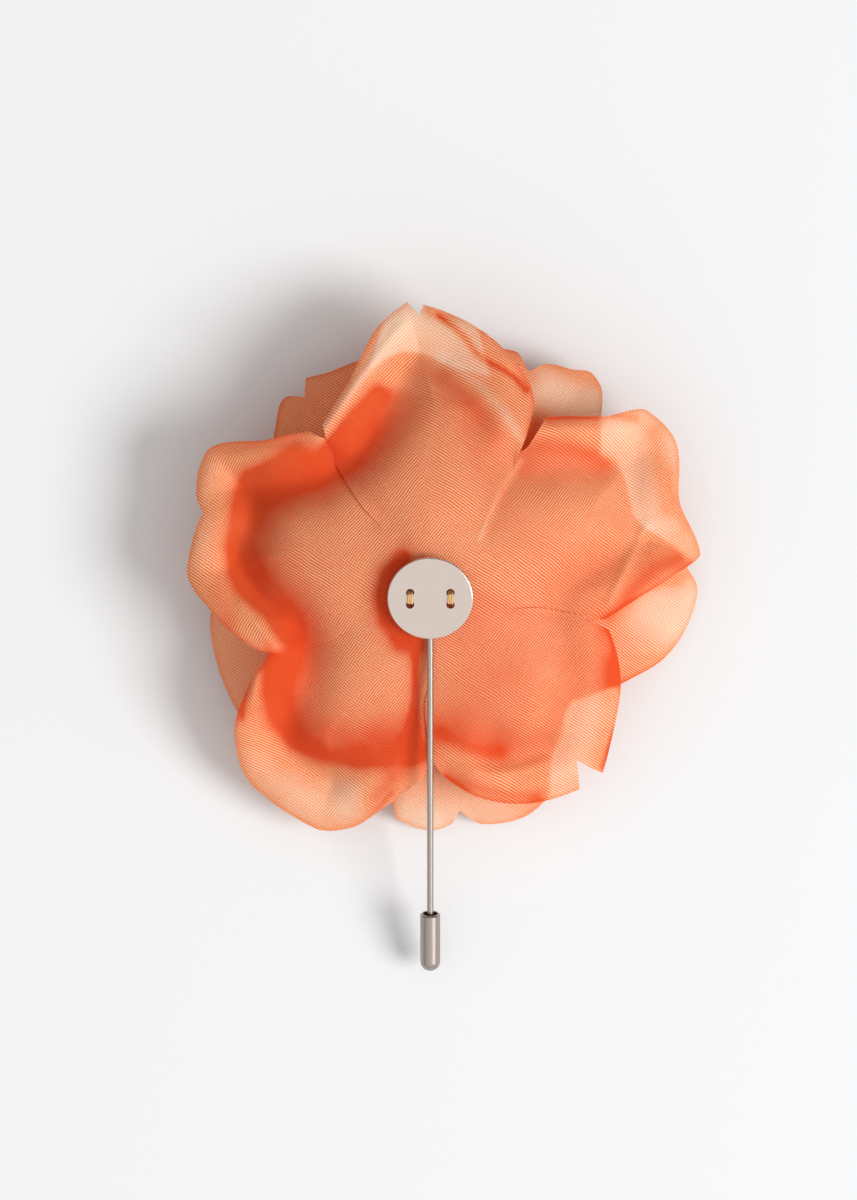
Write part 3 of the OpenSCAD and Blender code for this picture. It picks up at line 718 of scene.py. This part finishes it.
def strand(side, k):
    """Path of strand k of the stitch on one side, in metres in the row frame. The share t of
    its way runs from -1 to 1, and the strand lies on the disc where it is from -0.5 to 0.5."""
    across = Vector((1, 0, 0))
    along = DISC_AXIS.cross(across)
    reach = HOLE_PITCH / 2 - STRAND_INSET + STRAND_UNLIKE * k
    often, later = STRAND_WAVES
    path = []
    for t in np.linspace(-1, 1, STRAND_POINTS):
        rise = DISC_T / 2 + STRAND_OVER
        if abs(t) > 0.5:
            run = math.copysign(reach, t)
            rise -= (abs(t) - 0.5) * 2 * STRAND_DEEP
        else:
            run = math.sin(t * math.pi) * reach
            rise += STRAND_ARCH * math.cos(t * math.pi) - STRAND_UNLIKE * (k == 1)
        wide = side * HOLE_SPAN / 2 + (k - 1) * STRAND_GAP * (STRAND_SPREAD - STRAND_CLOSES * abs(t))
        wide += STRAND_UNLIKE * math.sin(often * t + later * k)
        path.append(DISC_MID + (across * wide + along * run + DISC_AXIS * rise) * MM)
    return path


def stitch(name, side):
    """Strands of thread through one pair of holes and down through the petals."""
    return tube(name, [strand(side, k) for k in range(STRANDS)], STRAND_R * MM)


def flat_size(ob):
    """Width, length and area of the flat cloth, from the cloth map."""
    mesh = ob.data
    flat = np.zeros(len(mesh.loops) * 2)
    mesh.uv_layers["cloth"].data.foreach_get("uv", flat)
    flat = flat.reshape(-1, 2)
    mesh.calc_loop_triangles()
    corners = np.zeros(len(mesh.loop_triangles) * 3, np.int32)
    mesh.loop_triangles.foreach_get("loops", corners)
    a, b, c = flat[corners.reshape(-1, 3)].transpose(1, 0, 2)
    area = np.abs((b - a)[:, 0] * (c - a)[:, 1] - (b - a)[:, 1] * (c - a)[:, 0]).sum() / 2
    width, length = np.ptp(flat, axis=0)
    return (float(width), float(length)), float(area)


# The silk's threads: direction in degrees and distance from each other
WARP = (-33, 0.53)
WEFT = (51, 0.49)
# Length and width of a thread's thick places, and how much thinner it is between them
SLUB_L = 4
SLUB_W = 0.45
SLUB_SHARE = 0.4
# Noises in the silk: scale in waves a metre, and detail
DRIFT_NOISE = (120, 2)
CLOUD_NOISE = (40, 1)
SPECK_NOISE = (2600, 1)
PATCH_NOISE = (110, 2)
# How far the threads drift from their line
DRIFT = 0.9
# Where the cloud rises from the first to the second value, the weft's share of the weave rises
# from the third to the fourth
TRADE = (0.42, 0.6, 0, 0.75)
# Shares of the weave's height: single threads, crossings and speckles
THREAD_SHARE = 0.95
CROSS_SHARE = 0.25
SPECK_SHARE = 0.35
# How uneven the dye is, how the painted shade deepens, and how much less of it the raised threads show
PATCH_SHARE = 0.25
SHADE_POWER = 1.2
THREADS_LESS = 0.12
# How much less the painted light pales the gaps than the threads
PALE_SHARE = 0.6
# Relief of the weave, and the share that the painted shade takes off it
WEAVE_RELIEF = 0.1
RELIEF_LESS = 0.8
# How much rougher the silk is under painted shade, its index and shine, and the share of light through
# threads
SILK_ROUGH = 0.55
SILK_IOR = 1.5
SILK_SHINE = 0.3
GLOW_SHARE = 0.21
# Colour of the light through gaps, and how clear gaps and threads are, times the clear share
CLEAR = (1, 0.84, 0.72)
GAP_CLEAR = 1.8
THREAD_CLEAR = 0.2
# How much less clear the cloth is where it isn't painted pale as a single sheet, and where painted shade
# lies
COVERED_LESS = 0.75
SHADED_LESS = 0.25
# Colours of both silks: raised threads with a painted sheen, gaps, places of painted shade and of painted
# light, and light that comes through
OUTER_SILK = dict(lit=(0.94, 0.65, 0.335), deep=(0.82, 0.07, 0.008), shaded=(0.66, 0.04, 0.002),
                  pale=(1, 0.85, 0.64), through=(1, 0.34, 0.08), clear_share=0.07)
INNER_SILK = dict(lit=(0.98, 0.52, 0.22), deep=(0.84, 0.05, 0.005), shaded=(0.66, 0.04, 0.002),
                  pale=(1, 0.7, 0.45), through=(1, 0.3, 0.07), clear_share=0.12)

# The golden thread: angle of its twist in degrees and distance of its turns, colours with a painted
# highlight on the twists and painted shade between them, relief
TWIST = (28, 0.22)
GOLD_DEEP = (0.5, 0.2, 0.04)
GOLD_LIT = (0.95, 0.62, 0.22)
TWIST_RELIEF = 0.05
GOLD_ROUGH = 0.45
GOLD_SHEEN = 0.3

# The metals: colour, colour past the disc's edge, darker on the pin's shaft as painted shade over the same
# metal, and roughness
STEEL = ((0.73, 0.62, 0.56), (0.47, 0.415, 0.365), 0.3)
SHELL = ((0.435, 0.37, 0.34), (0.435, 0.37, 0.34), 0.34)
# The colour changes between these distances from the disc's middle
DISC_EDGE = (8.55, 8.7)
STAIN_NOISE = (260, 3)
STAIN_SHARE = 0.12
STAIN = (0.45, 0.38, 0.34)
# Painted shade: metal seen at a slant is darker, standing in for the dark reflections at its edges
SLANT_POWER = 2.2
SLANT_SHARE = 0.3
SLANT_SHADE = (0.12, 0.09, 0.08)
SCRATCH_NOISE = (3200, 2)
SCRATCH_ROUGH = (-0.07, 0.09)
SCRATCH_STRENGTH = 0.35
SCRATCH_RELIEF = 0.01

# The rubber
RUBBER_DEEP = (0.012, 0.012, 0.013)
RUBBER_LIT = (0.032, 0.032, 0.035)
RUBBER_NOISE = (2500, 3)
RUBBER_RELIEF = 0.02
RUBBER_ROUGH = 0.7

# The floor
FLOOR = (0.765, 0.77, 0.772)
FLOOR_ROUGH = 0.9


def new_material(name):
    """An empty material and its node tree."""
    made = bpy.data.materials.new(name)
    made.use_nodes = True
    made.node_tree.nodes.clear()
    return made, made.node_tree


def node(tree, kind, **settings):
    """A new shader node of a kind, with these settings."""
    made = tree.nodes.new("ShaderNode" + kind)
    for key, value in settings.items():
        setattr(made, key, value)
    return made


def link(tree, a, b):
    """Joins an output to an input."""
    tree.links.new(a, b)


def put(tree, socket, value):
    """Gives an input a number, a colour, or the value of an output."""
    if hasattr(value, "is_linked"):
        link(tree, value, socket)
    else:
        socket.default_value = value if isinstance(value, (int, float)) else (*value, 1)


def math_node(tree, operation, *values):
    """The result of an operation on numbers or outputs."""
    made = node(tree, "Math", operation=operation)
    for socket, value in zip(made.inputs, values):
        put(tree, socket, value)
    return made.outputs[0]


def upper(tree, value, share):
    """A value times a share, raised so that 1 stays 1."""
    return math_node(tree, "MULTIPLY_ADD", value, share, 1 - share)


def times(tree, a, b):
    """The product of two numbers or outputs."""
    return math_node(tree, "MULTIPLY", a, b)


def centred(tree, value, share):
    """A noise from 0 to 1 as one around 0."""
    return times(tree, math_node(tree, "SUBTRACT", value, 0.5), share)


def blend(tree, factor, a, b):
    """Mixes two numbers or colours by a factor."""
    colours = not isinstance(a, (int, float)) and not isinstance(b, (int, float))
    made = node(tree, "Mix", data_type="RGBA" if colours else "FLOAT")
    sockets = [i for i in made.inputs if i.enabled]
    for socket, value in zip(sockets, (factor, a, b)):
        put(tree, socket, value)
    return [o for o in made.outputs if o.enabled][0]


def mapped(tree, value, low, high, to_low=0, to_high=1, **settings):
    """A value between low and high as one between two others."""
    made = node(tree, "MapRange", **settings)
    link(tree, value, made.inputs["Value"])
    for key, number in (("From Min", low), ("From Max", high), ("To Min", to_low), ("To Max", to_high)):
        made.inputs[key].default_value = number
    return made.outputs["Result"]


def noise(tree, place, scale, detail, dimensions="2D"):
    """The outputs of a noise at a place."""
    made = node(tree, "TexNoise", noise_dimensions=dimensions)
    made.inputs["Scale"].default_value = scale
    made.inputs["Detail"].default_value = detail
    link(tree, place, made.inputs["Vector"])
    return made.outputs


def bump(tree, height, relief, strength=1):
    """The normal of a surface with a relief."""
    made = node(tree, "Bump")
    made.inputs["Strength"].default_value = strength
    made.inputs["Distance"].default_value = relief * MM
    link(tree, height, made.inputs["Height"])
    return made.outputs["Normal"]


def surface(tree, kind="Principled", **values):
    """A surface of a kind. Its inputs are named with underscores for spaces."""
    face = node(tree, "Bsdf" + kind)
    for key, value in values.items():
        put(tree, face.inputs[key.replace("_", " ")], value)
    return face.outputs["BSDF"]


def mix_shader(tree, factor, a, b):
    """Mixes two shaders by a factor."""
    made = node(tree, "MixShader")
    for socket, value in zip(made.inputs, (factor, a, b)):
        put(tree, socket, value)
    return made.outputs["Shader"]


def end_with(tree, shader):
    """Makes a shader the material's surface."""
    end = node(tree, "OutputMaterial")
    link(tree, shader, end.inputs["Surface"])


def lines(tree, place, angle, period):
    """Threads: a wave from 0 to 1 whose crests run at an angle, in degrees."""
    across = node(tree, "VectorMath", operation="DOT_PRODUCT")
    link(tree, place, across.inputs[0])
    a = math.radians(angle + 90)
    k = 2 * math.pi / (period * MM)
    across.inputs[1].default_value = (math.cos(a) * k, math.sin(a) * k, 0)
    wave = math_node(tree, "SINE", across.outputs["Value"])
    return upper(tree, wave, 0.5)


def threads(tree, place, angle, period):
    """Threads that run at an angle, each a little thicker and thinner along its length."""
    wave = lines(tree, place, angle, period)
    turned = node(tree, "Mapping", vector_type="TEXTURE")
    link(tree, place, turned.inputs["Vector"])
    turned.inputs["Rotation"].default_value = (0, 0, math.radians(angle))
    turned.inputs["Scale"].default_value = (SLUB_L * MM, SLUB_W * MM, 1)
    slub = noise(tree, turned.outputs["Vector"], 1, 1)["Fac"]
    return times(tree, wave, upper(tree, slub, SLUB_SHARE))


def woven(tree, place):
    """Height of the weave: two crossing sets of threads that drift and take turns on top."""
    shift = node(tree, "VectorMath", operation="SCALE")
    link(tree, noise(tree, place, *DRIFT_NOISE)["Color"], shift.inputs[0])
    shift.inputs["Scale"].default_value = DRIFT * MM
    moved = node(tree, "VectorMath", operation="ADD")
    link(tree, place, moved.inputs[0])
    link(tree, shift.outputs["Vector"], moved.inputs[1])
    warp = threads(tree, moved.outputs["Vector"], *WARP)
    weft = threads(tree, moved.outputs["Vector"], *WEFT)
    trade = mapped(tree, noise(tree, place, *CLOUD_NOISE)["Fac"], *TRADE)
    single = times(tree, blend(tree, trade, warp, weft), THREAD_SHARE)
    weave = math_node(tree, "ADD", single, times(tree, times(tree, warp, weft), CROSS_SHARE))
    speckle = centred(tree, noise(tree, place, *SPECK_NOISE)["Fac"], SPECK_SHARE)
    return math_node(tree, "MAXIMUM", math_node(tree, "ADD", weave, speckle), 0)


def shading_and_dye_of(tree, place):
    """How deep the painted shade and how pale the painted light are, made a little uneven by patches of
    dye.
    """
    tint = node(tree, "Attribute", attribute_type="GEOMETRY", attribute_name="shading_and_dye").outputs["Fac"]
    patches = noise(tree, place, *PATCH_NOISE)["Fac"]
    tint = math_node(tree, "ADD", tint, centred(tree, patches, PATCH_SHARE))
    deeper = math_node(tree, "MINIMUM", math_node(tree, "MAXIMUM", tint, 0), 1)
    return deeper, math_node(tree, "MAXIMUM", times(tree, tint, -1), 0)


def silk_colour(tree, weave, deeper, paler, lit, deep, shaded, pale):
    """Colour of the threads, with a painted sheen, and the gaps, with painted shade deeper in the hollows
    and painted light in pale places.
    """
    colour = blend(tree, weave, deep, lit)
    strong = math_node(tree, "POWER", deeper, SHADE_POWER)
    strong = math_node(tree, "SUBTRACT", strong, times(tree, weave, THREADS_LESS))
    colour = blend(tree, math_node(tree, "MAXIMUM", strong, 0), colour, shaded)
    return blend(tree, times(tree, paler, upper(tree, weave, PALE_SHARE)), colour, pale)


def silk_gaps(tree, weave, deeper, paler, clear_share):
    """How clear the cloth is, mostly in the gaps of a single sheet."""
    gaps = blend(tree, weave, clear_share * GAP_CLEAR, clear_share * THREAD_CLEAR)
    single = math_node(tree, "MINIMUM", upper(tree, paler, COVERED_LESS), 1)
    return times(tree, gaps, math_node(tree, "SUBTRACT", single, times(tree, deeper, SHADED_LESS)))


def silk(name, lit, deep, shaded, pale, through, clear_share):
    """Sheer silk: two crossing sets of glossy threads with gaps between them, with painted shade
    in the hollows and painted light in pale places, that lets light through."""
    made, tree = new_material(name)
    place = node(tree, "UVMap", uv_map="cloth").outputs["UV"]
    weave = woven(tree, place)
    deeper, paler = shading_and_dye_of(tree, place)
    relief = times(tree, weave, math_node(tree, "SUBTRACT", 1, times(tree, deeper, RELIEF_LESS)))
    face = surface(tree, Base_Color=silk_colour(tree, weave, deeper, paler, lit, deep, shaded, pale),
                   Normal=bump(tree, relief, WEAVE_RELIEF), Roughness=upper(tree, deeper, SILK_ROUGH),
                   IOR=SILK_IOR, Specular_IOR_Level=SILK_SHINE)
    cloth = mix_shader(tree, GLOW_SHARE, face, surface(tree, "Translucent", Color=through))
    gaps = silk_gaps(tree, weave, deeper, paler, clear_share)
    end_with(tree, mix_shader(tree, gaps, cloth, surface(tree, "Transparent", Color=CLEAR)))
    return made


def thread_material(name):
    """Golden thread, its strands twisted, with painted highlights on the twists and painted shade between
    them.
    """
    made, tree = new_material(name)
    place = node(tree, "UVMap", uv_map="cloth").outputs["UV"]
    twist = lines(tree, place, *TWIST)
    end_with(tree, surface(tree, Base_Color=blend(tree, twist, GOLD_DEEP, GOLD_LIT),
                           Normal=bump(tree, twist, TWIST_RELIEF), Roughness=GOLD_ROUGH,
                           Sheen_Weight=GOLD_SHEEN))
    return made


def metal_tone(tree, place, colour, far_colour):
    """Colour of the metal, with stains, and painted shade where it is seen at a slant."""
    away = node(tree, "VectorMath", operation="DISTANCE")
    link(tree, place, away.inputs[0])
    away.inputs[1].default_value = DISC_MID
    past = mapped(tree, away.outputs["Value"], DISC_EDGE[0] * MM, DISC_EDGE[1] * MM)
    tone = blend(tree, past, colour, far_colour)
    stain = noise(tree, place, *STAIN_NOISE, "3D")["Fac"]
    tone = blend(tree, times(tree, stain, STAIN_SHARE), tone, STAIN)
    slant = node(tree, "LayerWeight").outputs["Facing"]
    edge = math_node(tree, "POWER", slant, SLANT_POWER)
    return blend(tree, times(tree, edge, SLANT_SHARE), tone, SLANT_SHADE)


def metal(name, colour, far_colour, roughness):
    """Satin metal with fine scratches. Past the disc's edge it has the far colour, which on the pin's shaft
    is painted shade.
    """
    made, tree = new_material(name)
    place = node(tree, "TexCoord").outputs["Object"]
    scratch = noise(tree, place, *SCRATCH_NOISE, "3D")["Fac"]
    less, more = SCRATCH_ROUGH
    end_with(tree, surface(tree, Metallic=1, Base_Color=metal_tone(tree, place, colour, far_colour),
                           Roughness=mapped(tree, scratch, 0, 1, roughness + less, roughness + more),
                           Normal=bump(tree, scratch, SCRATCH_RELIEF, SCRATCH_STRENGTH)))
    return made


def rubber_material(name):
    """Black rubber with a fine grain."""
    made, tree = new_material(name)
    place = node(tree, "TexCoord").outputs["Object"]
    grain = noise(tree, place, *RUBBER_NOISE, "3D")["Fac"]
    end_with(tree, surface(tree, Base_Color=blend(tree, grain, RUBBER_DEEP, RUBBER_LIT),
                           Normal=bump(tree, grain, RUBBER_RELIEF), Roughness=RUBBER_ROUGH))
    return made


def floor_material():
    """The plain floor, without a gloss."""
    made, tree = new_material("floor")
    end_with(tree, surface(tree, Base_Color=FLOOR, Roughness=FLOOR_ROUGH, Specular_IOR_Level=0))
    return made


def dress(ob, material):
    """Gives an object one material."""
    ob.data.materials.clear()
    ob.data.materials.append(material)


# The photograph: its size and the middle of the disc in pixels, and pixels a millimetre
PHOTO_W = 857
PHOTO_H = 1200
DISC_PX = 430.25
DISC_PY = 598
PX_PER_MM = 5
# In metres: heights of the camera and of the photograph's scale, and how far the camera sees
CAMERA_H = 1.8
SCALE_H = 0.015
CLIP_END = 20
SENSOR_W = 36
# In metres and watts: half the floor's width, and the key's direction, distance, size and power
FLOOR_HALF = 6
KEY_TOWARDS = (0.98, -0.33, 0.98)
KEY_FAR = 3
KEY_SIZE = 1.5
KEY_POWER = 72
# The brightest direction of the sky. Where the cosine of the angle to it rises from the first
# to the second value, the sky's strength rises from the third to the fourth
SKY_TOWARDS = (0.02, -0.4, 0.92)
SKY_STRENGTH = (-0.1, 1, 0.14, 0.92)


def camera_above(middle):
    """The camera, straight above the middle of the photograph."""
    scene = bpy.context.scene
    camera = bpy.data.cameras.new("camera")
    camera.sensor_width = SENSOR_W
    camera.lens = SENSOR_W * (CAMERA_H - SCALE_H) / (PHOTO_H / PX_PER_MM * MM)
    camera.clip_end = CLIP_END
    eye = bpy.data.objects.new("camera", camera)
    eye.location = (middle[0], middle[1], CAMERA_H)
    scene.collection.objects.link(eye)
    scene.camera = eye


def plain_floor():
    """A square of floor at the height of 0."""
    corners = [(x * FLOOR_HALF, y * FLOOR_HALF, 0) for x, y in ((-1, -1), (1, -1), (1, 1), (-1, 1))]
    mesh = bpy.data.meshes.new("floor")
    mesh.from_pydata(corners, [], [(0, 1, 2, 3)])
    ground = bpy.data.objects.new("floor", mesh)
    bpy.context.scene.collection.objects.link(ground)
    dress(ground, floor_material())
    return ground


def soft_light(name, middle, towards, far, size, power):
    """A round softbox that shines on the middle from a distance."""
    light = bpy.data.lights.new(name, "AREA")
    light.shape = "DISK"
    light.size = size
    light.energy = power
    lamp = bpy.data.objects.new(name, light)
    towards = Vector(towards).normalized()
    lamp.location = Vector((middle[0], middle[1], 0)) + towards * far
    lamp.rotation_mode = "QUATERNION"
    lamp.rotation_quaternion = towards.to_track_quat("Z", "Y")
    bpy.context.scene.collection.objects.link(lamp)


def soft_sky():
    """A white sky that is brightest above."""
    world = bpy.data.worlds.new("world")
    world.use_nodes = True
    tree = world.node_tree
    side = node(tree, "VectorMath", operation="DOT_PRODUCT")
    link(tree, node(tree, "TexCoord").outputs["Generated"], side.inputs[0])
    side.inputs[1].default_value = Vector(SKY_TOWARDS).normalized()
    strength = mapped(tree, side.outputs["Value"], *SKY_STRENGTH, interpolation_type="SMOOTHSTEP")
    link(tree, strength, tree.nodes["Background"].inputs["Strength"])
    put(tree, tree.nodes["Background"].inputs["Color"], (1, 1, 1))
    return world


def stage():
    """The camera, the floor, a key light from the lower right and a soft sky."""
    scene = bpy.context.scene
    scene.view_settings.view_transform = "Standard"
    right = (PHOTO_W / 2 - DISC_PX) / PX_PER_MM
    up = (DISC_PY - PHOTO_H / 2) / PX_PER_MM
    middle = ORIGIN + np.array([right, up, 0]) * MM
    camera_above(middle)
    ground = plain_floor()
    soft_light("key", middle, KEY_TOWARDS, KEY_FAR, KEY_SIZE, KEY_POWER)
    scene.world = soft_sky()


stage()
outer_silk = silk("petal_silk", **OUTER_SILK)
inner_silk = silk("inner_silk", **INNER_SILK)
gold = thread_material("thread")
steel = metal("pin_metal", *STEEL)
shell = metal("clutch_metal", *SHELL)
rubber = rubber_material("grip_rubber")

back = flower_layer("silk_back_petals", BACK, BACK_MESH, BACK_LAPS, BACK_FOLDS, BACK_SHEER_LIGHT)
second = flower_layer("silk_second_petals", SECOND, SECOND_MESH, EVEN_LAPS, SECOND_FOLDS)
third = flower_layer("silk_third_petals", THIRD, THIRD_MESH, EVEN_LAPS)
fourth = flower_layer("silk_fourth_petals", FOURTH, FOURTH_MESH, EVEN_LAPS)
bud = rolled_bud("silk_bud")
for piece, cad, material, slot, under in (
        (back, "back_petals", outer_silk, "petal_silk", second),
        (second, "second_petals", outer_silk, "petal_silk", third),
        (third, "third_petals", inner_silk, "inner_silk", fourth),
        (fourth, "fourth_petals", inner_silk, "inner_silk", bud),
        (bud, "bud", inner_silk, "inner_silk", fourth)):
    dress(piece, material)
    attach(piece, "flower")
    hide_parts(cad)
    flat, area = flat_size(piece)
for name, side in (("stitch_left", -1), ("stitch_right", 1)):
    piece = stitch(name, side)
    dress(piece, gold)
    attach(piece, "flower")
dress(frame["nodes"]["pin_back"], steel)
dress(frame["nodes"]["clutch_shell"], shell)
dress(frame["nodes"]["clutch_grip"], rubber)
